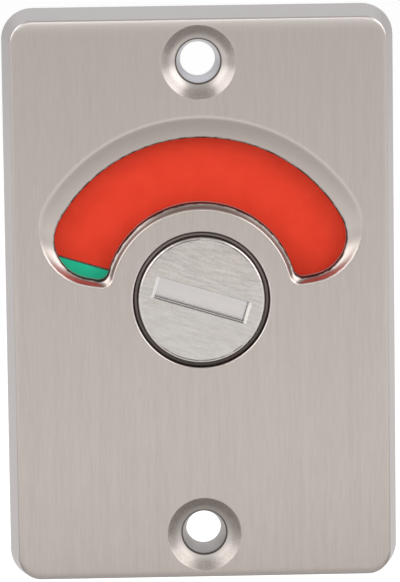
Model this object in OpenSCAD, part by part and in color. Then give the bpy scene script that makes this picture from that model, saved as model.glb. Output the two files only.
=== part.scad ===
// Outside plate of a toilet door's indicator bolt: a drafted cast plate with an arc window,
// a red and green disc behind it, and a coin-slotted turn that drives the disc and the spindle.
// Each piece is drawn lying on its back: x to the right, y up the door, z out of the door face.
// The whole is then stood up, so that the front looks along -Y and the turn's axis is the Y axis.

/* [Plate] */
// Width across the back edge
plate_w = 60; // [59:0.5:72]
// Height along the back edge
plate_h = 89; // [88:0.5:110]
// Thickness from the door face to the front face
plate_t = 7.5; // [7:0.1:10]
// Corner radius of the back edge
plate_corner_r = 4.8; // [3.5:0.1:8]
// Draft angle of the four sides
side_draft_deg = 10.5; // [4:0.5:14]
// Width of the strip in which the face falls away to its edge
edge_run = 1.3; // [0.6:0.1:1.6]
// Height of the side that the rounded front edge takes
edge_fall = 0.3; // [0.2:0.05:0.6]

/* [Window] */
// Inner radius of the window where it breaks through
window_in_r = 14.8; // [14:0.05:16]
// Outer radius of the window where it breaks through
window_out_r = 24.8; // [22:0.1:25]
// Angle of each end above the level line
window_end_deg = 10.8; // [6:0.1:30]
// Fillet where an end meets the inner arc
window_in_fillet = 1.6; // [1:0.1:2]
// Fillet where an end meets the outer arc
window_out_fillet = 6; // [3:0.1:7]
// Width of the bevel along the inner arc
bevel_in = 0.85; // [0.2:0.05:1.1]
// Width of the bevel along the outer arc
bevel_out = 3.3; // [2:0.1:3.8]
// Angle by which the bevel runs past each end
bevel_end_deg = 2.7; // [1:0.1:4]
// Growth of the outer fillet from the window to the face
bevel_fillet_growth = 2.6; // [1:0.1:3]
// Depth of the bevel below the face along the outer arc
bevel_depth = 1.5; // [1.2:0.1:2.8]
// Depth of the bevel below the face along the inner arc
bevel_in_depth = 0.85; // [0.6:0.05:2]
// Sag of the hollow bevel below a straight one, as a share of its rise
bevel_hollow = 0.05; // [0:0.01:0.2]
// Radius of the rounded lip at the foot of the bevel
lip_r = 0.2; // [0.1:0.05:0.3]
// Width of the softened edge round the bevel
bevel_edge = 0.35; // [0.1:0.05:0.4]

/* [Fixing holes] */
// Distance between the two hole centres
hole_spacing = 73; // [71:0.5:74]
// Radius of the hole at the door face
hole_r = 2.7; // [2.2:0.05:3]
// Length of the straight hole at the door face
hole_land = 2.2; // [1.5:0.1:2.5]
// Radius of the countersink at the face
csk_r = 5.7; // [5:0.05:5.9]
// Radius where the countersink's cone eases into its flatter seat
seat_r = 4.3; // [4:0.05:4.6]
// Depth of that place below the face
seat_depth = 1.3; // [1:0.05:1.45]
// Radius of the throat below the countersink
throat_r = 3.45; // [3.2:0.05:3.8]
// Depth of the throat below the face
throat_depth = 1.7; // [1.5:0.05:2.6]

/* [Turn] */
// Radius of the coin turn's head
head_r = 9.75; // [9:0.05:10]
// Radius of the head's rounded edge
head_edge_r = 0.5; // [0.2:0.05:0.6]
// Height of the head above the plate's face
head_proud = 0.1; // [0:0.05:0.5]
// Radius of the flange behind the front wall
flange_r = 12.5; // [11.5:0.1:12.8]
// Thickness of the flange
flange_t = 0.7; // [0.5:0.05:0.9]
// Radius of the stem
stem_r = 5.5; // [5:0.1:6]
// Distance across the stem's two flats
stem_flats = 9.2; // [8.6:0.1:9.4]
// Reach of the stem behind the door face
stem_reach = 7; // [6:0.5:12]
// Length of the coin slot
slot_l = 15.1; // [13:0.1:16]
// Width of the coin slot
slot_w = 3.5; // [2.5:0.1:4]
// Depth of the coin slot
slot_depth = 2; // [1.5:0.1:2.2]
// Lean of each end wall of the slot
slot_end_lean = 0.1; // [0:0.05:0.5]
// Length of the chamfer on the edge of each end
slot_end_chamfer = 0.45; // [0.1:0.05:0.6]
// Depth of that chamfer
slot_end_drop = 0.3; // [0.1:0.05:0.6]
// Lean of each side wall of the slot
slot_side_lean = 0.2; // [0:0.05:0.4]
// Chamfer on the edge of each side
slot_side_chamfer = 0.05; // [0.05:0.05:0.3]
// Turn of the slot from level as stored, clockwise from the front
rest_turn_deg = 17; // [0:1:90]
// Whole travel between the stops
travel_deg = 180; // [90:5:180]

/* [Bearings] */
// Wall of the bush round the head
bush_wall = 0.65; // [0.5:0.05:0.9]
// Depth of the bush below the face
bush_recess = 1; // [0.6:0.1:1.5]
// Radius of the crown on the bush's front edge
bush_crown_r = 0.24; // [0.1:0.02:0.24]
// Outer radius of the thrust washer
thrust_r = 12.9; // [12.6:0.1:13.2]
// Thickness of the thrust washer
thrust_t = 0.4; // [0.3:0.05:0.5]
// Radius of the rounded front edge of the bore for the bush
bore_edge_r = 0.3; // [0.1:0.05:0.4]

/* [Indicator disc] */
// Radius of the disc
disc_r = 27; // [26.5:0.1:27.2]
// Thickness of its sheet
disc_t = 0.6; // [0.5:0.05:0.7]
// Radius where the dished centre ends
dish_r = 13.4; // [13.2:0.1:13.8]
// Radial run of the dish's slope
dish_run = 0.7; // [0.5:0.05:0.9]
// Thickness of a coloured panel
panel_t = 0.25; // [0.2:0.05:0.3]
// Inner radius of the panels
panel_in_r = 14.2; // [14.1:0.05:14.4]
// Joint line between the panels
panel_joint = 0.08; // [0.04:0.02:0.2]
// Gap between the panels and the front wall
panel_gap = 0.3; // [0.2:0.05:0.4]
// Relief of the rim that runs past the stop
relief_depth = 1.2; // [1:0.1:1.4]
// Width of the stop in the pocket's wall
stop_w = 3; // [2:0.1:5]

/* [Retainers] */
// Thickness of the retaining ring
ring_t = 0.5; // [0.4:0.05:0.6]
// Radial width of the retaining ring
ring_w = 1.5; // [1.2:0.1:1.7]
// Depth of its groove
groove_depth = 0.5; // [0.3:0.05:0.6]
// Opening of the retaining ring
ring_open_deg = 50; // [40:5:80]
// Height of the space for the wave washer
wave_h = 0.95; // [0.8:0.05:1.2]
// Inner radius of the wave washer
wave_in_r = 9.2; // [9:0.1:9.6]
// Outer radius of the wave washer
wave_out_r = 11.8; // [11:0.1:12.4]
// Thickness of the wave washer
wave_t = 0.2; // [0.15:0.05:0.3]
// Number of its waves
wave_count = 3; // [3:1:5]

/* [Back cover] */
// Thickness of the cover
cover_t = 1.2; // [1.1:0.05:1.4]
// Ledge under the cover beside the pocket
cover_side_ledge = 0.9; // [0.7:0.05:1]
// Ledge under the cover above and below the pocket
cover_end_ledge = 2.8; // [2:0.1:3]
// Corner radius of the cover
cover_corner_r = 4; // [3:0.1:5]
// Distance of a cover screw from the cover's two edges
screw_inset = 4.4; // [4:0.1:5]
// Radius of a cover screw
screw_r = 1; // [0.8:0.05:1.1]
// Radius of its flat head
screw_head_r = 1.9; // [1.7:0.05:2]
// Length of a cover screw
screw_l = 4.2; // [3.5:0.1:4.5]
// Width of its slot
screw_slot_w = 0.5; // [0.4:0.05:0.6]

/* [Spindle] */
// Side of the square spindle
spindle_side = 5; // [4:0.1:5.2]
// Reach of the spindle behind the door face
spindle_reach = 42; // [30:1:80]
// Depth of its socket in front of the door face
socket_depth = 4.3; // [3.5:0.1:4.5]
// Chamfer on the free end
spindle_chamfer = 0.7; // [0.3:0.1:1]
// Radius of the grub screw
grub_r = 1.5; // [1.2:0.1:1.6]
// Distance of the grub screw behind the door face
grub_back = 4; // [3:0.1:5]
// Distance across its hexagon socket
grub_hex = 1.5; // [1.2:0.1:1.6]

/* [Cored back] */
// Wall left round the cored pockets
core_wall = 3; // [2.5:0.1:4]
// Radius of the boss left round each fixing hole
boss_r = 6.5; // [6:0.1:8]
// Depth of the cored pockets
core_depth = 3.6; // [2:0.1:4]
// Corner radius of the cored pockets
core_corner_r = 2; // [1:0.1:3]

/* [Fits] */
// Radial clearance of a turning fit
run_gap = 0.05; // [0.02:0.01:0.1]
// Clearance of a fixed fit
fixed_gap = 0.02; // [0.01:0.01:0.05]
// End play between pieces that turn on each other
end_play = 0.05; // [0.02:0.01:0.1]
// Free space between the disc and what stands still
disc_gap = 0.4; // [0.3:0.05:0.5]

/* [Hidden] */
$fn = 96;
over = 1;

// Stack behind the front wall, from the door face outwards
hub_back = cover_t + wave_h;
hub_front = hub_back + disc_t;
flange_front = hub_front + flange_t;
thrust_back = flange_front + end_play;
pocket_depth = thrust_back + thrust_t;
panel_front = pocket_depth - panel_gap;
rim_front = panel_front - panel_t;
rim_back = rim_front - disc_t;
head_front = plate_t + head_proud;
slot_floor = head_front - slot_depth;
socket_end = min(socket_depth, slot_floor - flange_t);

// Front edge of the plate: the drafted side runs into a curve that eases out on the face
edge_corner = [plate_t * tan(side_draft_deg), plate_t];
edge_start = edge_corner - edge_fall * [tan(side_draft_deg), 1];
edge_end = edge_corner + [edge_run, 0];
edge_steps = 6;

// Radii that follow from the fits
bush_in_r = head_r + run_gap;
bush_out_r = bush_in_r + bush_wall;
bore_r = bush_out_r + fixed_gap;
cover_bore_r = stem_r + run_gap;
pocket_r = disc_r + disc_gap;
relief_r = disc_r - relief_depth;
panel_out_r = relief_r - fixed_gap;
stop_r = relief_r + disc_gap;
groove_r = stem_r - groove_depth;
ring_in_r = groove_r + fixed_gap;
ring_out_r = ring_in_r + ring_w;

// Cover outline and its four screws
cover_w = 2 * (pocket_r + cover_side_ledge);
cover_h = 2 * (pocket_r + cover_end_ledge);
screw_x = cover_w / 2 - screw_inset;
screw_y = cover_h / 2 - screw_inset;
screw_head_h = screw_head_r - screw_r;
screw_slot_depth = screw_head_h / 2;

// Stop angles: half the stop's width, and the play left at each end of the travel
stop_half_deg = asin(stop_w / 2 / stop_r);
stop_play_deg = asin(disc_gap / stop_r);
relief_deg = travel_deg + 2 * (stop_half_deg + stop_play_deg);
stop_deg = 270;

// Window outline: steps on each fillet and on each of the two long arcs
fillet_steps = 10;
arc_steps = 44;

// Window edges: steps up a hollow slope, steps round a softened edge, share of the slope that the
// softened edge takes, share of a countersink's cone and seat that the ease between them takes,
// least straight part of an end
hollow_steps = 5;
soft_steps = 3;
soft_share = 0.12;
ease_share = 0.4;
end_straight = 0.3;

steel = "silver";
nickel = [0.72, 0.69, 0.66];
bright_nickel = [0.78, 0.76, 0.74];
acetal = [0.12, 0.11, 0.1];
nylon = [0.85, 0.83, 0.78];
signal_red = [0.86, 0.22, 0.15];
signal_green = [0.1, 0.68, 0.5];

function polar(r, a) = [r * cos(a), r * sin(a)];
function arc(centre, r, from, to, steps) =
    [for (i = [0 : steps]) centre + polar(r, from + (to - from) * i / steps)];
function hollow_climb(u, sag) = u - 4 * sag * u * (1 - u);
function flipped(points) = [for (i = [len(points) - 1 : -1 : 0]) [-points[i].x, points[i].y]];

// Inset of the plate's side and the height it belongs to, from the back edge to the flat front
edge_profile = concat(
    [[0, 0]],
    [for (i = [0 : edge_steps]) rounded_layer(edge_start, edge_corner, edge_end, i / edge_steps)]
);

function section(width) = concat(
    [for (p = edge_profile) [width / 2 - p.x, p.y]],
    flipped([for (p = edge_profile) [width / 2 - p.x, p.y]])
);

// Closed outline of an arc window: along the outer arc from right to left, and back along the inner one.
// The outer fillet is limited by the length of the end between the two arcs.
function window_outline(in_r, out_r, end_deg, in_fillet, wanted_fillet, grow) =
    let (
        in_tangent = sqrt(in_r * (in_r + 2 * in_fillet)) + end_straight,
        out_fillet = min(wanted_fillet, (out_r - in_tangent * in_tangent / out_r) / 2),
        in_deg = end_deg + asin(in_fillet / (in_r + in_fillet)),
        out_deg = end_deg + asin(out_fillet / (out_r - out_fillet)),
        in_centre = polar(in_r + in_fillet, in_deg),
        out_centre = polar(out_r - out_fillet, out_deg),
        in_corner = arc(in_centre, in_fillet + grow, in_deg + 180, end_deg + 270, fillet_steps),
        out_corner = arc(out_centre, out_fillet + grow, end_deg - 90, out_deg, fillet_steps),
        outer = arc([0, 0], out_r + grow, out_deg, 180 - out_deg, arc_steps),
        inner = arc([0, 0], in_r - grow, 180 - in_deg, in_deg, arc_steps)
    )
    concat(
        out_corner,
        [for (i = [1 : arc_steps - 1]) outer[i]],
        flipped(out_corner),
        flipped(in_corner),
        [for (i = [1 : arc_steps - 1]) inner[i]],
        in_corner
    );

function through_outline(grow) =
    window_outline(window_in_r, window_out_r, window_end_deg, window_in_fillet, window_out_fillet, grow);

function bevel_outline(grow) =
    window_outline(
        window_in_r - bevel_in, window_out_r + bevel_out, window_end_deg - bevel_end_deg,
        window_in_fillet, window_out_fillet + bevel_fillet_growth, grow
    );

function between(a, b, share) = [for (i = [0 : len(a) - 1]) a[i] + (b[i] - a[i]) * share];
function level(outline, z) = [for (p = outline) concat(p, z)];
function raised(outline, heights) = [for (i = [0 : len(outline) - 1]) concat(outline[i], heights[i])];

// Depth of the bevel's foot at a point of the break-through: it grows from the inner arc to the outer one
function foot_depth(p) =
    let (share = (norm(p) - window_in_r) / (window_out_r - window_in_r))
    bevel_in_depth + (bevel_depth - bevel_in_depth) * max(0, min(1, share));

// Layer on the curve that leaves start towards corner and arrives at end from corner
function rounded_layer(start, corner, end, share) =
    between(between(start, corner, share), between(corner, end, share), share);

// Solid between stacked layers of one band: each layer's outer side comes first, and its inner side comes back
module loft_band(layers) {
    count = len(layers[0]);
    last = len(layers) - 1;
    points = [for (layer = layers) for (p = layer) p];
    sides = [
        for (k = [0 : last - 1])
            for (i = [0 : count - 1])
                let (
                    low = k * count + i,
                    low_next = k * count + (i + 1) % count,
                    high = low + count,
                    high_next = low_next + count
                )
                    for (f = [[low, high, low_next], [low_next, high, high_next]]) f
    ];
    bottom = [
        for (i = [0 : count / 2 - 2])
            for (f = [[i, i + 1, count - 1 - i], [i + 1, count - 2 - i, count - 1 - i]]) f
    ];
    top = [for (f = bottom) [f[2] + last * count, f[1] + last * count, f[0] + last * count]];
    polyhedron(points = points, faces = concat(sides, bottom, top), convexity = 6);
}

// Stands a piece up on the door: its front then looks along -Y
module as_mounted() {
    rotate([90, 0, 0]) children();
}

// Places a piece that goes round with the coin turn
module as_turned() {
    as_mounted() rotate([0, 0, -rest_turn_deg]) children();
}

module rounded_rect(w, h, r) {
    square([w - 2 * r, h], center = true);
    square([w, h - 2 * r], center = true);
    for (x = [-1, 1], y = [-1, 1])
        translate([x * (w / 2 - r), y * (h / 2 - r)]) circle(r);
}

module washer(in_r, out_r, t) {
    difference() {
        cylinder(r = out_r, h = t);
        translate([0, 0, -over]) cylinder(r = in_r, h = t + 2 * over);
    }
}

// Sector of a flat ring that starts at the angle given
module ring_sector(in_r, out_r, t, from, sweep) {
    rotate([0, 0, from])
        rotate_extrude(angle = sweep) translate([in_r, 0]) square([out_r - in_r, t]);
}

// Plate with drafted sides, round corners and a front edge that eases out on the face
module plate_blank() {
    corner_profile = concat([for (p = edge_profile) [plate_corner_r - p.x, p.y]], [[0, plate_t], [0, 0]]);
    rotate([90, 0, 0])
        linear_extrude(plate_h - 2 * plate_corner_r, center = true) polygon(section(plate_w));
    rotate([90, 0, 90])
        linear_extrude(plate_w - 2 * plate_corner_r, center = true) polygon(section(plate_h));
    for (quarter = [0 : 3]) {
        x = quarter == 0 || quarter == 3 ? 1 : -1;
        y = quarter < 2 ? 1 : -1;
        translate([x * (plate_w / 2 - plate_corner_r), y * (plate_h / 2 - plate_corner_r), 0])
            rotate([0, 0, 90 * quarter]) rotate_extrude(angle = 90) polygon(corner_profile);
    }
}

// Cutter of the window: a straight wall, a rounded lip, a hollow bevel and a softened edge at the face
module window_cut() {
    through = through_outline(0);
    foot = through_outline(lip_r);
    brow = bevel_outline(0);
    lip_z = [for (p = through) plate_t - foot_depth(p)];
    lip = [
        for (i = [0 : soft_steps])
            let (a = 90 * i / soft_steps)
                raised(through_outline(lip_r * (1 - cos(a))), [for (z = lip_z) z - lip_r * (1 - sin(a))])
    ];
    bevel = [
        for (i = [1 : hollow_steps])
            let (
                u = (1 - soft_share) * i / hollow_steps,
                gain = hollow_climb(u, bevel_hollow)
            )
                raised(between(foot, brow, u), [for (z = lip_z) z + (plate_t - z) * gain])
    ];
    corner = level(brow, plate_t);
    rim = level(bevel_outline(bevel_edge), plate_t);
    edge = [for (i = [1 : soft_steps]) rounded_layer(bevel[hollow_steps - 1], corner, rim, i / soft_steps)];
    above = level(bevel_outline(bevel_edge + over), plate_t + over);
    loft_band(concat([level(through, 0)], lip, bevel, edge, [above]));
}

// Countersunk screw hole: a cone that eases into a flatter seat, a drafted throat and a straight hole
module fixing_hole() {
    throat = [throat_r, plate_t - throat_depth];
    knee = [seat_r, plate_t - seat_depth];
    rim = [csk_r, plate_t];
    inner = between(knee, throat, ease_share);
    outer = between(knee, rim, ease_share);
    ease = [for (i = [0 : soft_steps]) rounded_layer(inner, knee, outer, i / soft_steps)];
    below = [[0, -over], [hole_r, -over], [hole_r, hole_land]];
    above = [rim, [csk_r, plate_t + over], [0, plate_t + over]];
    rotate_extrude() polygon(concat(below, [throat], ease, above));
}

// Bore for the bush, with its front edge rounded
module bush_bore() {
    mouth_r = bore_r + bore_edge_r;
    mouth = arc([mouth_r, plate_t - bore_edge_r], bore_edge_r, 180, 90, edge_steps);
    above = [[mouth_r, plate_t + over], [0, plate_t + over]];
    rotate_extrude() polygon(concat([[0, -over], [bore_r, -over]], mouth, above));
}

// Pocket for the disc, with the stop left standing in its wall
module disc_pocket() {
    difference() {
        translate([0, 0, -over]) cylinder(r = pocket_r, h = pocket_depth + over);
        rotate([0, 0, stop_deg])
            translate([stop_r, -stop_w / 2, cover_t]) cube([pocket_r, stop_w, pocket_depth]);
    }
}

// Hollow cast into the back beside a fixing hole
module core_pocket() {
    core_w = plate_w / 2 - core_wall - boss_r;
    core_h = plate_h / 2 - core_wall - cover_h / 2 - core_wall;
    translate([boss_r + core_w / 2, plate_h / 2 - core_wall - core_h / 2, -over])
        linear_extrude(core_depth + over) rounded_rect(core_w, core_h, core_corner_r);
}

module at_cover_screws() {
    for (x = [-1, 1], y = [-1, 1])
        translate([x * screw_x, y * screw_y, 0]) children();
}

module face_plate() {
    color(nickel) as_mounted() difference() {
        plate_blank();
        window_cut();
        bush_bore();
        disc_pocket();
        translate([0, 0, -over]) linear_extrude(cover_t + over)
            rounded_rect(cover_w + 2 * fixed_gap, cover_h + 2 * fixed_gap, cover_corner_r + fixed_gap);
        for (side = [-1, 1])
            translate([0, side * hole_spacing / 2, 0]) fixing_hole();
        at_cover_screws() cylinder(r = screw_r + fixed_gap, h = screw_l + fixed_gap);
        for (x = [0, 1], y = [0, 1])
            mirror([x, 0, 0]) mirror([0, y, 0]) core_pocket();
    }
}

module turn_bush() {
    bush_front = plate_t - bush_recess;
    crown_z = bush_front - bush_crown_r;
    profile = concat(
        [[bush_in_r, pocket_depth], [bush_out_r, pocket_depth]],
        arc([bush_out_r - bush_crown_r, crown_z], bush_crown_r, 0, 90, edge_steps),
        arc([bush_in_r + bush_crown_r, crown_z], bush_crown_r, 90, 180, edge_steps)
    );
    color(acetal) as_mounted() rotate_extrude() polygon(profile);
}

module thrust_washer() {
    color(nylon) as_mounted() translate([0, 0, thrust_back]) washer(bush_in_r, thrust_r, thrust_t);
}

// Round section of the stem with its two flats
module stem_section(gap) {
    intersection() {
        circle(stem_r + gap);
        square([2 * stem_r + over, stem_flats + 2 * gap], center = true);
    }
}

// Coin slot: every wall leans outwards and is chamfered at the face
module slot_cut() {
    intersection() {
        rotate([90, 0, 0]) linear_extrude(slot_w + over, center = true)
            slot_profile(slot_l, slot_end_lean, slot_end_chamfer, slot_end_drop);
        rotate([90, 0, 90]) linear_extrude(slot_l + over, center = true)
            slot_profile(slot_w, slot_side_lean, slot_side_chamfer, slot_side_chamfer);
    }
}

module slot_profile(span, lean, chamfer, drop) {
    half = span / 2;
    right_wall = [
        [half - chamfer - lean, slot_floor],
        [half - chamfer, head_front - drop],
        [half, head_front],
        [half, head_front + over]
    ];
    polygon(concat(right_wall, flipped(right_wall)));
}

module coin_turn() {
    head_edge = arc([head_r - head_edge_r, head_front - head_edge_r], head_edge_r, 0, 90, edge_steps);
    body_profile = concat(
        [[0, hub_front], [flange_r, hub_front], [flange_r, flange_front], [head_r, flange_front]],
        head_edge,
        [[0, head_front]]
    );
    color(bright_nickel) as_turned() difference() {
        union() {
            rotate_extrude() polygon(body_profile);
            translate([0, 0, -stem_reach]) linear_extrude(stem_reach + hub_front) stem_section(0);
        }
        slot_cut();
        translate([0, 0, hub_back - end_play - ring_t - fixed_gap])
            washer(groove_r, stem_r + over, ring_t + 2 * fixed_gap);
        translate([0, 0, -stem_reach - over]) linear_extrude(stem_reach + over + socket_end)
            square(spindle_side + 2 * fixed_gap, center = true);
        translate([0, 0, -grub_back]) rotate([-90, 0, 0]) cylinder(r = grub_r + fixed_gap, h = stem_r);
    }
}

// Pressed disc: the centre is dished back to clear the flange, and half the rim is relieved for the stop
module indicator_disc() {
    profile = [
        [0, hub_front],
        [dish_r - dish_run / 2, hub_front],
        [dish_r + dish_run / 2, rim_front],
        [disc_r, rim_front],
        [disc_r, rim_back],
        [dish_r + dish_run, rim_back],
        [dish_r, hub_back],
        [0, hub_back]
    ];
    relief_from = stop_deg - stop_half_deg - stop_play_deg;
    color(steel) as_turned() difference() {
        rotate_extrude() polygon(profile);
        translate([0, 0, hub_back - over]) linear_extrude(disc_t + 2 * over) stem_section(fixed_gap);
        translate([0, 0, rim_back - over])
            ring_sector(relief_r, disc_r + over, disc_t + 2 * over, relief_from, relief_deg);
    }
}

// Half of the coloured ring, on the upper side of the joint line
module half_panel() {
    translate([0, 0, rim_front]) linear_extrude(panel_t) difference() {
        circle(panel_out_r);
        circle(panel_in_r);
        translate([-disc_r, -2 * disc_r + panel_joint / 2]) square(2 * disc_r);
    }
}

module red_panel() {
    color(signal_red) as_turned() half_panel();
}

module green_panel() {
    color(signal_green) as_turned() rotate([0, 0, 180]) half_panel();
}

// Open ring that snaps into the stem's groove
module retaining_ring() {
    color(steel) as_turned() translate([0, 0, hub_back - end_play - ring_t])
        ring_sector(ring_in_r, ring_out_r, ring_t, 270 + ring_open_deg / 2, 360 - ring_open_deg);
}

// Waved ring that presses the disc forward and holds it where it is turned
module wave_washer() {
    steps = 24 * wave_count;
    swing = (wave_h - wave_t) / 2 - fixed_gap;
    middle = cover_t + wave_h / 2;
    function wave_z(i) = middle + swing * cos(360 * wave_count * i / steps);
    corners = [[wave_in_r, -1], [wave_out_r, -1], [wave_out_r, 1], [wave_in_r, 1]];
    points = [
        for (i = [0 : steps - 1])
            for (c = corners)
                concat(polar(c.x, 360 * i / steps), wave_z(i) + c.y * wave_t / 2)
    ];
    faces = [
        for (i = [0 : steps - 1])
            for (k = [0 : 3])
                let (
                    a = 4 * i + k,
                    b = 4 * i + (k + 1) % 4,
                    c = 4 * ((i + 1) % steps) + (k + 1) % 4,
                    d = 4 * ((i + 1) % steps) + k
                )
                    for (f = [[a, b, c], [a, c, d]]) f
    ];
    color(steel) as_mounted() polyhedron(points = points, faces = faces, convexity = 6);
}

// Flat screw, head at the door face and tip towards the front
module cover_screw(gap) {
    rotate_extrude() polygon([
        [0, 0],
        [screw_head_r + gap, 0],
        [screw_r + gap, screw_head_h],
        [screw_r + gap, screw_l],
        [0, screw_l]
    ]);
}

module back_cover() {
    color(steel) as_mounted() difference() {
        linear_extrude(cover_t) rounded_rect(cover_w, cover_h, cover_corner_r);
        translate([0, 0, -over]) cylinder(r = cover_bore_r, h = cover_t + 2 * over);
        at_cover_screws() cover_screw(fixed_gap);
    }
}

module cover_screws() {
    color(steel) as_mounted() at_cover_screws() difference() {
        cover_screw(0);
        translate([0, 0, screw_slot_depth / 2])
            cube([2 * screw_head_r + over, screw_slot_w, screw_slot_depth], center = true);
    }
}

// Square bar with a chamfered free end
module spindle() {
    half = spindle_side / 2;
    outline = [
        [-half, socket_end],
        [half, socket_end],
        [half, -spindle_reach + spindle_chamfer],
        [half - spindle_chamfer, -spindle_reach],
        [-half + spindle_chamfer, -spindle_reach],
        [-half, -spindle_reach + spindle_chamfer]
    ];
    color(steel) as_turned() intersection() {
        rotate([90, 0, 0]) linear_extrude(spindle_side, center = true) polygon(outline);
        rotate([90, 0, 90]) linear_extrude(spindle_side, center = true) polygon(outline);
    }
}

// Headless screw that clamps the spindle through one of the stem's flats
module grub_screw() {
    grub_from = spindle_side / 2 + fixed_gap;
    grub_l = stem_flats / 2 - grub_from;
    color(acetal) as_turned() translate([0, grub_from, -grub_back]) rotate([-90, 0, 0]) difference() {
        cylinder(r = grub_r, h = grub_l);
        translate([0, 0, grub_l / 2]) cylinder(d = grub_hex, h = grub_l, $fn = 6);
    }
}

face_plate();
turn_bush();
thrust_washer();
coin_turn();
indicator_disc();
red_panel();
green_panel();
retaining_ring();
wave_washer();
back_cover();
cover_screws();
spindle();
grub_screw();
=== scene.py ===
"""Looks of the toilet door's indicator plate: brushed nickel plate, coin turn, red and green disc.

The materials follow the part's own coordinates in millimetres: x to the right, y into the door, z up.
"""
import math

import bpy
from mathutils import Matrix, Vector


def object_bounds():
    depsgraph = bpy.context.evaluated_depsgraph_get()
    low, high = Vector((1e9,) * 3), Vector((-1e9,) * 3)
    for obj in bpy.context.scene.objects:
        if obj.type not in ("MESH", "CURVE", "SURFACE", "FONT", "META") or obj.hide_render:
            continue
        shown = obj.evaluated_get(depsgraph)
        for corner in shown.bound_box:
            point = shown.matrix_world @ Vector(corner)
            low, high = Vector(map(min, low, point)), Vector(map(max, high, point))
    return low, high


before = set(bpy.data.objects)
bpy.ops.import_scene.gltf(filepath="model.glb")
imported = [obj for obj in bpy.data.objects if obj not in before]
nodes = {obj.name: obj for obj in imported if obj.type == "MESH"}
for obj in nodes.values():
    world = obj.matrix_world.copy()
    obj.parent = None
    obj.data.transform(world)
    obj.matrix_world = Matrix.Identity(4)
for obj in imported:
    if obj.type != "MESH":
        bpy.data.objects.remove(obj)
cad_low, cad_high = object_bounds()
scene = bpy.context.scene
scene.view_settings.view_transform = "Standard"

MM = 0.001

# Places on the part, in millimetres and degrees, as part.scad has them

REST_TURN_DEG = 17.0  # the slot, and the joint between the panels, clockwise of level
HOLE_Z = 36.5  # the fixing holes, above and below the turn's axis
WINDOW_R = (14.8, 24.8)  # the window's inner and outer arc
BEVEL_FOOT_Y = (-6.65, -6.0)  # the foot of its bevel along each of them

# Where one finish gives way to another, in millimetres. A pair is the start and the end of one change,
# and four numbers are a band: a change in and a change out. R is from the turn's axis or a hole's.

FACE_SHADE_Z = (-40.0, 40.0)  # painted shade: the brushed face is painted darker upwards
TOP_HIGHLIGHT_Z = (40.8, 43.0)  # a painted highlight: a light strip along the face's upper end
PLATE_ENDS_HIGHLIGHT_Z = (41.6, 41.9)  # painted highlight on the rolled edges above and below the holes
WINDOW_ENDS_HIGHLIGHT_Z = (3.0, 9.0)  # a painted highlight: the lighter bevel at the window's low ends
WINDOW_BEVEL_R = (28.2, 28.5)
WINDOW_WALL_R = (13.4, 13.6, 26.4, 26.6)
WINDOW_LIP_Y = (-0.05, 0.03)  # from the bevel's foot
WINDOW_DEEP_Y = (-5.1, -3.9)  # the wall's paler foot, by the disc
SINK_R = (5.66, 5.76)
CLEAR_OF_SINK_R = (5.7, 5.8)
SEAT_R = (4.2, 4.5)
THROAT_R = (3.3, 3.4, 3.52, 3.64)
HOLE_BORE_R = (3.25, 3.35)
TURN_BORE_HIGHLIGHT_R = (10.9, 11.0)
TURN_BORE_HIGHLIGHT_X = (5.0, 9.0)  # painted highlight on the left and right of the bore that holds the bush
UPPER_HALF_Z = (-1.0, 1.0)

HEAD_SUNK_Y = (-7.3, -6.8)  # everything behind the head's face
HEAD_UPPER_Z = (-2.0, 4.0)
HEAD_DARK_LINE_R = (9.22, 9.30, 9.38, 9.46)
HEAD_DARK_LINE_Z = (4.0, 7.5)
HEAD_BRIM_HIGHLIGHT_R = (9.40, 9.48)
HEAD_BRIM_HIGHLIGHT_Z = (-6.0, -2.0)
SLOT_R = (8.4, 8.6)
SLOT_Y = (-5.5, -5.4)
SLOT_CORNER_Y = (-6.52, -6.32)
SLOT_BRINK_Y = (-6.85, -6.65)

BUSH_CROWN_R = (9.80, 9.88, 10.16, 10.26)
BUSH_LIT_Z = (-9.0, 5.0)
JOINT_DIRT = (0.08, 0.2)  # from the line between the panels

# The same for the y part of the surface's normal, which is -1 on the face

FACE_TURN = (-0.999, -0.97)
ROLL_TURN = (-0.995, -0.96, -0.5, -0.3)
FLANK_TURN = (-0.6, -0.25)
WINDOW_WALL_TURN = (-0.35, -0.15)
SLOT_WALL_TURN = (-0.5, -0.3)


# Node helpers

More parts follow.
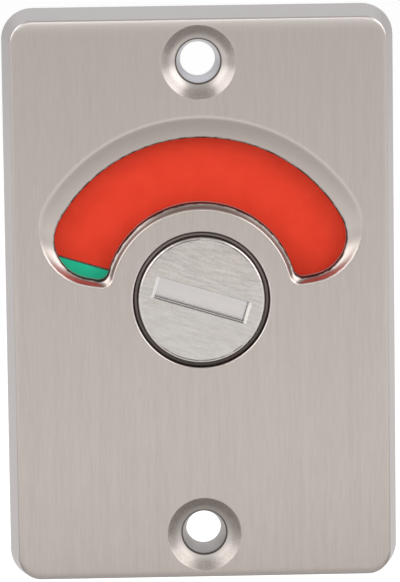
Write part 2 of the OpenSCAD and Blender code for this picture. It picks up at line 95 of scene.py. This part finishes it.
class Look:
    """A procedural material: its tree, its Principled shader and its coordinates on the part."""

    def __init__(self, name):
        self.material = bpy.data.materials.new(name)
        self.material.use_nodes = True
        self.tree = self.material.node_tree
        self.shader = self.tree.nodes["Principled BSDF"]
        self.coords = self.add("ShaderNodeTexCoord")

    def add(self, kind, inputs=None, **settings):
        node = self.tree.nodes.new(kind)
        for key, value in settings.items():
            setattr(node, key, value)
        for key, value in (inputs or {}).items():
            self.put(node.inputs[key], value)
        return node

    def put(self, socket, value):
        if isinstance(value, bpy.types.NodeSocket):
            self.tree.links.new(value, socket)
        else:
            socket.default_value = value

    def set(self, **values):
        for key, value in values.items():
            self.put(self.shader.inputs[key.replace("_", " ")], value)

    def place(self):
        """x, y and z on the part, in millimetres."""
        inputs = {"Vector": self.coords.outputs["Object"], "Scale": 1 / MM}
        scaled = self.add("ShaderNodeVectorMath", inputs, operation="SCALE")
        return tuple(self.add("ShaderNodeSeparateXYZ", {"Vector": scaled.outputs[0]}).outputs)

    def normal(self):
        """x, y and z of the surface's normal."""
        return tuple(self.add("ShaderNodeSeparateXYZ", {"Vector": self.coords.outputs["Normal"]}).outputs)

    def stretched(self, per_mm, turn_deg=0.0):
        """Object coordinates scaled to so many units for each millimetre along x, y and z."""
        turned = self.add(
            "ShaderNodeMapping",
            {"Vector": self.coords.outputs["Object"], "Rotation": (0.0, math.radians(turn_deg), 0.0)},
        )
        scale = tuple(c / MM for c in per_mm)
        return self.add("ShaderNodeMapping", {"Vector": turned.outputs[0], "Scale": scale}).outputs[0]

    def noise(self, per_mm, detail=2.0, rough=0.5, turn_deg=0.0):
        node = self.add(
            "ShaderNodeTexNoise",
            {"Vector": self.stretched(per_mm, turn_deg), "Scale": 1.0, "Detail": detail, "Roughness": rough},
        )
        return node.outputs["Fac"]

    def span(self, value, low, high, to_low, to_high):
        node = self.add(
            "ShaderNodeMapRange",
            {"Value": value, "From Min": low, "From Max": high, "To Min": to_low, "To Max": to_high},
        )
        node.clamp = True
        return node.outputs[0]

    def rise(self, value, low, high):
        return self.span(value, low, high, 0.0, 1.0)

    def fall(self, value, low, high):
        return self.span(value, low, high, 1.0, 0.0)

    def band(self, value, rise_low, rise_high, fall_low, fall_high):
        return self.times(self.rise(value, rise_low, rise_high), self.fall(value, fall_low, fall_high))

    def math(self, operation, a, b=0.0):
        node = self.add("ShaderNodeMath", operation=operation)
        self.put(node.inputs[0], a)
        self.put(node.inputs[1], b)
        return node.outputs[0]

    def times(self, first, *others):
        for other in others:
            first = self.math("MULTIPLY", first, other)
        return first

    def plus(self, first, *others):
        for other in others:
            first = self.math("ADD", first, other)
        return first

    def rest(self, value):
        return self.math("SUBTRACT", 1.0, value)

    def size(self, value):
        return self.math("ABSOLUTE", value)

    def radius(self, x, z):
        return self.math("SQRT", self.plus(self.times(x, x), self.times(z, z)))

    def mix(self, factor, a, b):
        node = self.add("ShaderNodeMix", data_type="RGBA")
        self.put(node.inputs[0], factor)
        self.put(node.inputs[6], a)
        self.put(node.inputs[7], b)
        return node.outputs[2]

    def mix_value(self, factor, a, b):
        node = self.add("ShaderNodeMix", data_type="FLOAT")
        self.put(node.inputs[0], factor)
        self.put(node.inputs[2], a)
        self.put(node.inputs[3], b)
        return node.outputs[0]

    def layered(self, base, *layers):
        """A base tone with further tones over it, each laid through its own mask."""
        for mask, tone in layers:
            base = self.mix(mask, base, tone)
        return base

    def rounded(self, radius_mm):
        """The normal as it would be with every edge rounded."""
        return self.add("ShaderNodeBevel", {"Radius": radius_mm * MM}, samples=6).outputs[0]

    def edge(self, radius_mm, low=0.03, high=0.25):
        """1 on sharp edges, 0 on open surfaces, read from how far a rounded normal leaves the true one."""
        dot = self.add("ShaderNodeVectorMath", operation="DOT_PRODUCT")
        self.put(dot.inputs[0], self.rounded(radius_mm))
        self.put(dot.inputs[1], self.add("ShaderNodeNewGeometry").outputs["Normal"])
        return self.rise(self.rest(dot.outputs["Value"]), low, high)

    def bump(self, height, depth_mm, soft_mm=0.0):
        node = self.add("ShaderNodeBump", {"Height": height, "Distance": depth_mm * MM, "Strength": 1.0})
        if soft_mm:
            self.put(node.inputs["Normal"], self.rounded(soft_mm))
        self.set(Normal=node.outputs[0])


def colour(r, g, b):
    return (r, g, b, 1.0)


def dark_and_light(base, share):
    """The tones so far below and above a base."""
    return [colour(*[c * factor for c in base]) for factor in (1 - share, 1 + share)]


def dress(node, look):
    piece = nodes[node]
    piece.material_slots[0].material = look.material


# Smooth shading: faceted curves are shaded round, and flat faces stay flat

def shade_round(node, limit_deg=32.0):
    piece = nodes[node]
    weld = piece.modifiers.new("weld", "WELD")
    weld.merge_threshold = 2e-6
    group = bpy.data.node_groups.new("round_" + node, "GeometryNodeTree")
    group.interface.new_socket("Geometry", in_out="INPUT", socket_type="NodeSocketGeometry")
    group.interface.new_socket("Geometry", in_out="OUTPUT", socket_type="NodeSocketGeometry")
    start = group.nodes.new("NodeGroupInput")
    end = group.nodes.new("NodeGroupOutput")
    angle = group.nodes.new("GeometryNodeInputMeshEdgeAngle")
    steep = group.nodes.new("FunctionNodeCompare")
    steep.operation = "GREATER_THAN"
    steep.inputs[1].default_value = math.radians(limit_deg)
    normals = group.nodes.new("GeometryNodeSetMeshNormal")
    normals.mode = "SHARPNESS"
    group.links.new(start.outputs[0], normals.inputs["Mesh"])
    normals.inputs["Remove Custom"].default_value = True
    group.links.new(angle.outputs["Unsigned Angle"], steep.inputs[0])
    group.links.new(steep.outputs[0], normals.inputs["Edge Sharpness"])
    group.links.new(normals.outputs[0], end.inputs[0])
    piece.modifiers.new("round", "NODES").node_group = group
    weighted = piece.modifiers.new("weighted", "WEIGHTED_NORMAL")
    weighted.keep_sharp = True
    weighted.weight = 100


for name in ("face_plate", "coin_turn", "wave_washer"):
    shade_round(name)


# Satin nickel of the plate: fine upright brush lines on the face, painted darker upwards, plain satin on
# bevels and sides, pitted countersinks with painted light and shade, painted highlights on the rolled ends,
# the top strip, the turn's bore and the window's low ends, and below the window's lip the dull cast wall that
# the plating hardly reaches, painted dark as shade at its top and paler at its foot

def countersink_tone(k, from_hole, upper, speck):
    """The two holes' cones painted in tones of their own as the light falls on each, a smooth seat, and a bore
    painted lighter in the upper hole as light from behind.
    """
    pits = k.rise(speck, 0.35, 0.65)
    upper_cone = k.mix(pits, colour(0.390, 0.353, 0.332), colour(0.460, 0.417, 0.393))
    lower_cone = k.mix(pits, colour(0.370, 0.335, 0.312), colour(0.470, 0.425, 0.398))
    seat = colour(0.43, 0.396, 0.372)
    bore = k.mix(upper, colour(0.42, 0.402, 0.395), colour(0.54, 0.545, 0.585))
    # Painted light and shade: each hole's cone and bore take a tone set for the light on that hole
    return k.layered(
        k.mix(upper, lower_cone, upper_cone),
        (k.fall(from_hole, *SEAT_R), seat),
        (k.fall(from_hole, *HOLE_BORE_R), bore),
    )


def window_wall(k, y, facing, from_axis):
    """The wall below the bevel's foot and its lip, painted dark as shade over unplated cast, the lip's border
    broken up by noise.
    """
    foot = k.span(from_axis, *WINDOW_R, *BEVEL_FOOT_Y)
    worn = k.span(k.noise((0.7, 0.7, 0.7), detail=3.0, rough=0.6), 0.38, 0.58, 0.35, 1.0)
    lip = k.times(worn, k.rise(k.math("SUBTRACT", y, foot), *WINDOW_LIP_Y))
    steep = k.rise(facing, *WINDOW_WALL_TURN)
    return k.times(k.band(from_axis, *WINDOW_WALL_R), k.math("MAXIMUM", lip, steep))


def plate_look():
    k = Look("satin_nickel_plate")
    x, y, z = k.place()
    facing = k.normal()[1]
    from_axis = k.radius(x, z)
    from_hole = k.radius(x, k.math("SUBTRACT", k.size(z), HOLE_Z))
    upper = k.rise(z, *UPPER_HALF_Z)
    front = k.fall(facing, *FACE_TURN)
    not_front = k.rest(front)

    fine = k.noise((6.0, 0.6, 0.30), detail=3.0, rough=0.65)
    broad = k.noise((0.9, 0.5, 0.03))
    cloud = k.noise((0.05, 0.05, 0.05))
    speck = k.noise((3.0, 3.0, 3.0), detail=3.0)
    grain = k.plus(k.times(fine, 0.7), k.times(broad, 0.3))

    # Painted shade: the face's tone is set darker towards the top, as the light falls
    level = k.plus(k.rise(grain, 0.3, 0.7), k.span(z, *FACE_SHADE_Z, 0.25, -0.25))
    brushed = k.mix(level, colour(0.42, 0.377, 0.350), colour(0.488, 0.440, 0.412))
    # Painted highlight: the bevel is lighter at the window's low ends
    window_ends_highlight = k.times(k.fall(z, *WINDOW_ENDS_HIGHLIGHT_Z), k.fall(from_axis, *WINDOW_BEVEL_R))
    bevel = k.mix(speck, colour(0.405, 0.364, 0.338), colour(0.447, 0.404, 0.377))
    bevel = k.mix(window_ends_highlight, bevel, colour(0.485, 0.425, 0.400))
    flank = k.mix(cloud, colour(0.42, 0.395, 0.398), colour(0.46, 0.432, 0.436))

    # Painted highlight on the rolled edges at the plate's top and bottom
    rolled_ends_highlight = k.times(
        k.band(facing, *ROLL_TURN),
        k.times(k.rise(k.size(z), *PLATE_ENDS_HIGHLIGHT_Z), k.rise(from_hole, *CLEAR_OF_SINK_R)),
    )
    # Painted highlight along the face's upper end
    top_highlight = k.times(front, k.rise(z, *TOP_HIGHLIGHT_Z))
    sink = k.times(k.fall(from_hole, *SINK_R), not_front)
    # Painted highlight on the mouth of the turn's bore, at its left and right
    turn_bore_highlight = k.times(k.fall(from_axis, *TURN_BORE_HIGHLIGHT_R), not_front, k.rise(k.size(x), *TURN_BORE_HIGHLIGHT_X))
    wall = window_wall(k, y, facing, from_axis)
    deep = k.times(wall, k.rise(y, *WINDOW_DEEP_Y))
    # Painted shade: the window's wall and lip over unplated cast, and a line of shade and dirt round each
    # hole's throat
    dirt_and_shade = k.math("MAXIMUM", wall, k.times(k.band(from_hole, *THROAT_R), 0.85))
    base = k.layered(
        k.mix(front, k.mix(k.rise(facing, *FLANK_TURN), bevel, flank), brushed),
        (k.times(k.edge(0.25), 0.35), colour(0.62, 0.60, 0.58)),
        (rolled_ends_highlight, colour(0.52, 0.487, 0.472)),
        (k.times(top_highlight, top_highlight), colour(0.62, 0.575, 0.548)),
        (sink, countersink_tone(k, from_hole, upper, speck)),
        (turn_bore_highlight, colour(0.55, 0.514, 0.494)),
        (dirt_and_shade, colour(0.042, 0.027, 0.022)),
        (deep, colour(0.58, 0.54, 0.52)),
    )

    rough_face = k.span(grain, 0.3, 0.7, 0.42, 0.34)
    rough_sink = k.times(sink, k.span(upper, 0.0, 1.0, 0.12, 0.03))
    rough_side = k.plus(k.span(speck, 0.3, 0.7, 0.28, 0.32), k.times(dirt_and_shade, 0.25), rough_sink)
    k.set(Base_Color=base, Metallic=k.rest(deep), Roughness=k.mix_value(front, rough_side, rough_face))
    k.bump(k.times(grain, front), 0.004, soft_mm=0.12)
    return k


# Bright nickel of the turn: faint wavy brush lines across the face, painted warmer and stronger in the upper
# half as the light falls, a painted dark line of dirt and shade inside its rim and a painted highlight on its
# lower rim, and a slot with painted highlights on its walls and left end and painted shade and dirt along the
# top and bottom of its walls

def turn_look():
    k = Look("bright_nickel_turn")
    x, y, z = k.place()
    normal_x, facing, normal_z = k.normal()
    from_axis = k.radius(x, z)
    sunk = k.rise(y, *HEAD_SUNK_Y)
    flat = k.rest(sunk)

    lines = k.noise((0.35, 0.5, 2.6), detail=3.0, rough=0.55, turn_deg=-REST_TURN_DEG)
    fine = k.noise((0.5, 0.5, 9.0), turn_deg=-REST_TURN_DEG)
    tint = k.noise((0.2, 0.2, 0.9), turn_deg=-REST_TURN_DEG)
    dots = k.noise((2.5, 2.5, 2.5))
    grain = k.plus(k.times(lines, 0.45), k.times(fine, 0.3), k.times(dots, 0.25))

    # Painted light: the upper half is warmer and its brush lines stronger, as the light falls; the tint noise
    # is the metal's own
    upper = k.rise(z, *HEAD_UPPER_Z)
    swing = k.times(k.math("SUBTRACT", k.rise(grain, 0.3, 0.7), 0.5), k.span(upper, 0.0, 1.0, 1.1, 1.9))
    warm_tint_and_light = k.times(k.plus(upper, k.rise(tint, 0.4, 0.6)), 0.5)
    dark = k.mix(warm_tint_and_light, colour(0.437, 0.417, 0.395), colour(0.442, 0.403, 0.378))
    light = k.mix(warm_tint_and_light, colour(0.592, 0.571, 0.544), colour(0.602, 0.551, 0.520))

    # Painted dark line of dirt and shade inside the rim, in patches above and below
    patches = k.times(k.rise(k.size(z), *HEAD_DARK_LINE_Z), k.span(tint, 0.4, 0.55, 0.4, 1.0))
    rim_dirt_and_shade = k.times(k.band(from_axis, *HEAD_DARK_LINE_R), patches)
    # Painted highlight on the lower part of the rim
    brim_highlight = k.times(k.rise(from_axis, *HEAD_BRIM_HIGHLIGHT_R), k.fall(z, *HEAD_BRIM_HIGHLIGHT_Z))
    near_slot = k.times(k.fall(y, *SLOT_Y), k.fall(from_axis, *SLOT_R))
    slot_wall = k.times(near_slot, k.rise(facing, *SLOT_WALL_TURN))
    # Painted shade and dirt: dark lines at the foot of the slot's walls and along the top of its long walls
    corner = k.times(slot_wall, k.rise(y, *SLOT_CORNER_Y))
    long_wall = k.times(slot_wall, k.rise(k.size(normal_z), 0.4, 0.6))
    brink = k.times(long_wall, k.fall(y, *SLOT_BRINK_Y))
    # Painted highlight on the slot's left end
    left_end_highlight = k.times(near_slot, k.rise(normal_x, 0.32, 0.45))
    base = k.layered(
        k.mix(k.plus(swing, 0.5), dark, light),
        (sunk, colour(0.565, 0.536, 0.523)),
        (k.times(k.edge(0.2), 0.4), colour(0.70, 0.68, 0.66)),
        (k.times(rim_dirt_and_shade, flat), colour(0.12, 0.11, 0.105)),
        (k.times(brim_highlight, flat), colour(0.90, 0.87, 0.85)),
        # Painted highlight on the slot's walls
        (slot_wall, colour(0.92, 0.905, 0.89)),
        (k.math("MAXIMUM", corner, brink), colour(0.025, 0.022, 0.020)),
        (left_end_highlight, colour(0.80, 0.785, 0.77)),
    )

    rough = k.math("SUBTRACT", k.span(grain, 0.3, 0.7, 0.34, 0.26), k.times(sunk, 0.08))
    k.set(Base_Color=base, Metallic=1.0, Roughness=rough)
    k.bump(k.times(grain, flat), 0.006, soft_mm=0.05)
    return k


def paint_look(name, light, dark):
    """Matt paint: slight mottle, a fine orange-peel skin and dirt in the joint between the two halves."""
    k = Look(name)
    x, _, z = k.place()
    mottle = k.noise((0.35, 0.35, 0.35), detail=4.0, rough=0.6)
    peel = k.noise((4.0, 4.0, 4.0))
    turn = math.radians(REST_TURN_DEG)
    from_joint = k.size(k.plus(k.times(x, math.sin(turn)), k.times(z, math.cos(turn))))
    paint = k.mix(k.rise(mottle, 0.35, 0.65), dark, light)
    base = k.mix(k.span(from_joint, *JOINT_DIRT, 0.85, 0.0), paint, colour(0.05, 0.03, 0.02))
    k.set(Base_Color=base, Roughness=k.span(peel, 0.3, 0.7, 0.5, 0.62), Specular_IOR_Level=0.1)
    k.bump(peel, 0.006)
    return k


def plastic_look(name, base, share, rough):
    """Moulded plastic: a faint flow pattern and a fine matt skin."""
    k = Look(name)
    flow = k.noise((0.25, 0.25, 0.6), detail=3.0)
    skin = k.noise((6.0, 6.0, 6.0))
    k.set(Base_Color=k.mix(k.rise(flow, 0.3, 0.7), *dark_and_light(base, share)))
    k.set(Roughness=k.span(skin, 0.3, 0.7, rough - 0.06, rough + 0.06))
    k.bump(skin, 0.005)
    return k


def bush_look():
    """Brown-black bush: its crown painted lighter towards the top as the light falls, over a mottle of its
    own, and painted shade in the hollows beside it.
    """
    k = Look("brown_black_acetal")
    x, _, z = k.place()
    flow = k.noise((0.25, 0.25, 0.25), detail=3.0)
    skin = k.noise((6.0, 6.0, 6.0))
    # Painted light: the crown is lighter towards the top; the flow noise is the plastic's own
    lit_and_mottled = k.times(k.span(flow, 0.3, 0.7, 0.7, 1.0), k.rise(z, *BUSH_LIT_Z))
    crown_tone = k.mix(lit_and_mottled, colour(0.078, 0.054, 0.043), colour(0.27, 0.216, 0.187))
    # Painted shade in the hollows on either side of the crown
    crown = k.band(k.radius(x, z), *BUSH_CROWN_R)
    k.set(Base_Color=k.mix(crown, colour(0.028, 0.017, 0.012), crown_tone))
    k.set(Roughness=k.span(skin, 0.3, 0.7, 0.38, 0.5))
    k.bump(skin, 0.005)
    return k


def steel_look(name, base, rough, lines_per_mm):
    """Plated or bare steel: cloudy tone, fine lines along one way, bright worn edges."""
    k = Look(name)
    cloud = k.noise((0.16, 0.16, 0.16), detail=4.0, rough=0.65)
    lines = k.noise(lines_per_mm)
    tone = k.plus(k.times(cloud, 0.6), k.times(lines, 0.4))
    plain = k.mix(k.rise(tone, 0.35, 0.65), *dark_and_light(base, 0.18))
    k.set(Base_Color=k.mix(k.times(k.edge(0.15), 0.5), plain, colour(0.72, 0.71, 0.70)))
    k.set(Metallic=1.0, Roughness=k.span(tone, 0.35, 0.65, rough + 0.07, rough - 0.07))
    k.bump(tone, 0.006, soft_mm=0.06)
    return k


RED = colour(0.765, 0.0505, 0.022), colour(0.725, 0.044, 0.018)
GREEN = colour(0.025, 0.575, 0.334), colour(0.021, 0.545, 0.313)
SPRING_STEEL = (0.34, 0.33, 0.32)
ROLLED = (0.08, 0.5, 3.0)  # lines for each millimetre along x, y and z
DRAWN = (4.0, 0.05, 4.0)
TUMBLED = (3.0, 3.0, 3.0)
TEMPERED = (2.0, 2.0, 2.0)

dress("face_plate", plate_look())
dress("coin_turn", turn_look())
dress("red_panel", paint_look("matt_red", *RED))
dress("green_panel", paint_look("matt_green", *GREEN))
dress("turn_bush", bush_look())
dress("thrust_washer", plastic_look("natural_nylon", (0.80, 0.77, 0.70), 0.04, 0.45))
dress("indicator_disc", steel_look("zinc_sheet_disc", (0.50, 0.50, 0.50), 0.36, ROLLED))
dress("back_cover", steel_look("zinc_sheet_cover", (0.50, 0.50, 0.49), 0.38, ROLLED))
dress("cover_screws", steel_look("zinc_screws", (0.38, 0.38, 0.375), 0.24, TUMBLED))
dress("retaining_ring", steel_look("spring_steel_ring", SPRING_STEEL, 0.34, TEMPERED))
dress("wave_washer", steel_look("spring_steel_wave", SPRING_STEEL, 0.32, TEMPERED))
dress("spindle", steel_look("drawn_square_bar", (0.46, 0.46, 0.45), 0.33, DRAWN))
dress("grub_screw", steel_look("black_oxide_grub", (0.05, 0.05, 0.052), 0.42, TEMPERED))


# Stage, in metres: a pale floor below, grey cards, a white surround that metal shows too, and softboxes

def level_corners(half_x, y_low, y_high, z):
    return [(-half_x, y_low, z), (half_x, y_low, z), (half_x, y_high, z), (-half_x, y_high, z)]


def upright_corners(half_x, y, z_low, z_high):
    return [(-half_x, y, z_low), (half_x, y, z_low), (half_x, y, z_high), (-half_x, y, z_high)]


def stage_plane(name, corners, look, hidden_from=()):
    mesh = bpy.data.meshes.new(name)
    mesh.from_pydata(corners, [], [(0, 1, 2, 3)])
    plane = bpy.data.objects.new(name, mesh)
    scene.collection.objects.link(plane)
    plane.data.materials.append(look.material)
    for ray in hidden_from:
        setattr(plane, "visible_" + ray, False)


def stage_floor(half_size, z, glow):
    k = Look("floor")
    speck = k.noise((0.02, 0.02, 0.02))
    k.set(Base_Color=k.mix(speck, colour(0.80, 0.80, 0.80), colour(0.82, 0.82, 0.82)))
    k.set(Roughness=0.9, Specular_IOR_Level=0.1)
    rays = k.add("ShaderNodeLightPath").outputs
    seen = k.plus(rays["Is Camera Ray"], rays["Is Glossy Ray"], rays["Is Transmission Ray"])
    k.set(Emission_Color=colour(1.0, 1.0, 1.0), Emission_Strength=k.times(k.math("MINIMUM", seen, 1.0), glow))
    stage_plane("floor", level_corners(half_size, -half_size, half_size, z), k)


def card(name, corners, near, far):
    """A grey card that only reflections see, as a studio uses to shape metal; it grades from front to back."""
    k = Look(name)
    k.set(Base_Color=colour(0.0, 0.0, 0.0), Roughness=1.0, Specular_IOR_Level=0.0)
    k.set(Emission_Color=colour(1.0, 0.98, 0.96), Emission_Strength=near)
    if near != far:
        depths_mm = [corner[1] / MM for corner in corners]
        k.set(Emission_Strength=k.span(k.place()[1], min(depths_mm), max(depths_mm), near, far))
    stage_plane(name, corners, k, hidden_from=("camera", "diffuse", "transmission", "shadow"))


def surround(level):
    """White to the camera and in the metal, and of the given level as light on everything else."""
    world = bpy.data.worlds.new("surround")
    scene.world = world
    world.use_nodes = True
    tree = world.node_tree
    back = tree.nodes["Background"]
    rays = tree.nodes.new("ShaderNodeLightPath").outputs
    seen = rays["Is Camera Ray"]
    for ray in ("Is Glossy Ray", "Is Transmission Ray"):
        either = tree.nodes.new("ShaderNodeMath")
        either.operation = "MAXIMUM"
        tree.links.new(seen, either.inputs[0])
        tree.links.new(rays[ray], either.inputs[1])
        seen = either.outputs[0]
    strength = tree.nodes.new("ShaderNodeMapRange")
    tree.links.new(seen, strength.inputs["Value"])
    strength.inputs["To Min"].default_value = level
    strength.inputs["To Max"].default_value = 1.0
    tree.links.new(strength.outputs[0], back.inputs["Strength"])
    back.inputs["Color"].default_value = colour(1.0, 1.0, 1.0)


def softbox(name, place, size, watts):
    """A rectangular lamp that faces the origin."""
    lamp = bpy.data.lights.new(name, "AREA")
    lamp.shape = "RECTANGLE"
    lamp.size, lamp.size_y = size
    lamp.energy = watts
    holder = bpy.data.objects.new(name, lamp)
    scene.collection.objects.link(holder)
    holder.location = place
    holder.rotation_mode = "QUATERNION"
    holder.rotation_quaternion = (-Vector(place)).to_track_quat("-Z", "Y")


SIDE_BOX_SIZE = (0.50, 0.56)
FRONT_BOX_SIZE = (0.50, 0.09)

stage_floor(half_size=4.0, z=cad_low.z - 0.03, glow=0.34)
card("foot_card", level_corners(0.25, -0.09, 0.02, cad_low.z - 0.02), near=0.95, far=0.45)
card("head_card", level_corners(0.20, -0.48, 0.20, 0.35), near=0.66, far=0.66)
card("rear_card", level_corners(0.90, 0.05, 0.79, cad_low.z - 0.028), near=0.92, far=0.92)
card("front_card", upright_corners(0.30, -0.76, cad_low.z - 0.02, 0.06), near=0.4, far=0.4)
card("back_card", upright_corners(0.90, 0.80, cad_low.z - 0.025, 0.30), near=0.75, far=0.75)
surround(level=0.76)
softbox("left_box", (-0.459, -0.244, 0.338), SIDE_BOX_SIZE, watts=1.5)
softbox("right_box", (0.459, -0.244, 0.338), SIDE_BOX_SIZE, watts=1.85)
softbox("front_box", (0.0, -0.624, 0.318), FRONT_BOX_SIZE, watts=0.34)


# Camera at the photograph's view: a long lens, a little above and left of the plate's middle

def photo_camera():
    reach = 0.7230
    raised = math.radians(8.5)
    aside = math.radians(-1.43)
    roll = math.radians(0.76)
    pixels = 4680.0  # focal length
    middle_x, middle_y = 200.33, 292.9  # where the origin lies in the picture
    wide, high = 400.0, 582.0
    out = Vector((math.sin(aside) * math.cos(raised), -math.cos(aside) * math.cos(raised), math.sin(raised)))
    data = bpy.data.cameras.new("camera")
    data.sensor_width = 36.0
    data.lens = pixels / high * data.sensor_width
    data.clip_start, data.clip_end = 0.01, 20.0
    camera = bpy.data.objects.new("camera", data)
    scene.collection.objects.link(camera)
    turn = (-out).to_track_quat("-Z", "Y").to_matrix() @ Matrix.Rotation(-roll, 3, "Z")
    tilt_x = math.atan((middle_x - wide / 2) / pixels)
    tilt_y = math.atan((middle_y - high / 2) / pixels)
    turn = turn @ Matrix.Rotation(tilt_x, 3, "Y") @ Matrix.Rotation(tilt_y, 3, "X")
    camera.matrix_world = Matrix.Translation(out * reach) @ turn.to_4x4()
    scene.camera = camera


photo_camera()
